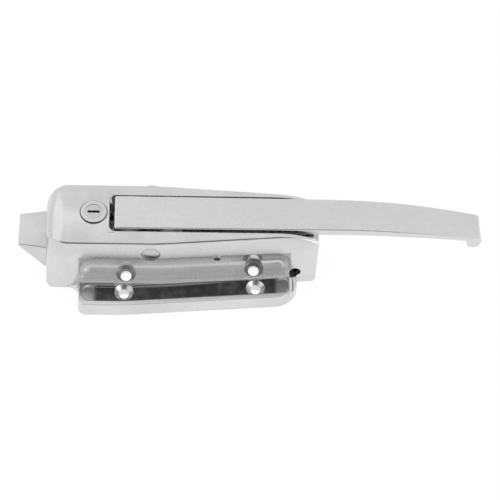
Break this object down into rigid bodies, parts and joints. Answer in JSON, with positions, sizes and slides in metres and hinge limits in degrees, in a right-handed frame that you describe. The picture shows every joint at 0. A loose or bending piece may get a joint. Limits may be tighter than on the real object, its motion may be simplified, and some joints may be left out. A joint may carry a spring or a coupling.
{
  "type": "lever door latch",
  "caption": "Surface-mounted door latch with a long pull lever, a sprung bevelled bolt, a key lock and an offset screw flange.",
  "frame": {"origin": "midway between the two outer mounting screws, on the back plane that lies against the door", "axes": "+X along the lever from the bolt's nose towards the lever's tip, +Z out of the door through the screws, +Y from the flange towards the body"},
  "size_m": [0.3265, 0.0848, 0.0505],
  "materials": {
    "polished_casting": "polished zinc die casting with a bright plated skin and satin broad faces",
    "lever_casting": "satin-polished die casting, fine lengthwise brushing",
    "bolt_casting": "tumbled casting, slightly duller than the body",
    "steel_pin": "ground steel pin",
    "spring_steel": "oiled spring wire",
    "plated_steel": "zinc-plated pressed steel",
    "black_steel": "black-oxide alloy steel",
    "lock_case": "bright plated lock case",
    "lock_plug_face": "nickel-plated plug, circular brushing",
    "brass": "plain brass"
  },
  "bodies": {
    "housing": {"body_casting": "polished_casting", "pivot_pin": "steel_pin", "stop_pin": "steel_pin", "spring_rod": "steel_pin", "spring_seat": "plated_steel", "bolt_spring": "spring_steel", "return_spring": "spring_steel", "keeper_plate": "plated_steel", "keeper_screws": "plated_steel", "set_screw": "black_steel", "lock_housing": "lock_case", "lock_nut": "plated_steel"},
    "lever": {"lever_handle": "lever_casting", "drive_pin": "steel_pin"},
    "bolt": {"trigger_bolt": "bolt_casting"},
    "lock": {"lock_plug": "lock_plug_face", "lock_wafers": "brass", "lock_cam": "plated_steel", "cam_washer": "plated_steel", "cam_screw": "plated_steel"}
  },
  "joints": [
    {"name": "lever_pivot", "type": "hinge", "parent": "housing", "child": "lever", "pos_m": [-0.0278, 0.0376, 0.0357], "axis": [0, -1, 0], "range_deg": [0, 32], "stiffness_Nm_per_rad": 0.6, "springref_deg": -20.05, "deforming": ["return_spring"]},
    {"name": "bolt_slide", "type": "slide", "parent": "housing", "child": "bolt", "axis": [1, 0, 0], "range_m": [0, 0.014], "stiffness_N_per_m": 500, "springref_m": -0.02, "deforming": ["bolt_spring"]},
    {"name": "lock_turn", "type": "hinge", "parent": "housing", "child": "lock", "pos_m": [-0.068, 0.0376, 0.03], "axis": [0, 0, 1], "range_deg": [0, 90]}
  ],
  "couplings": [
    {"joint": "bolt_slide", "follows": "lever_pivot", "m_per_rad": 0.02506}
  ]
}
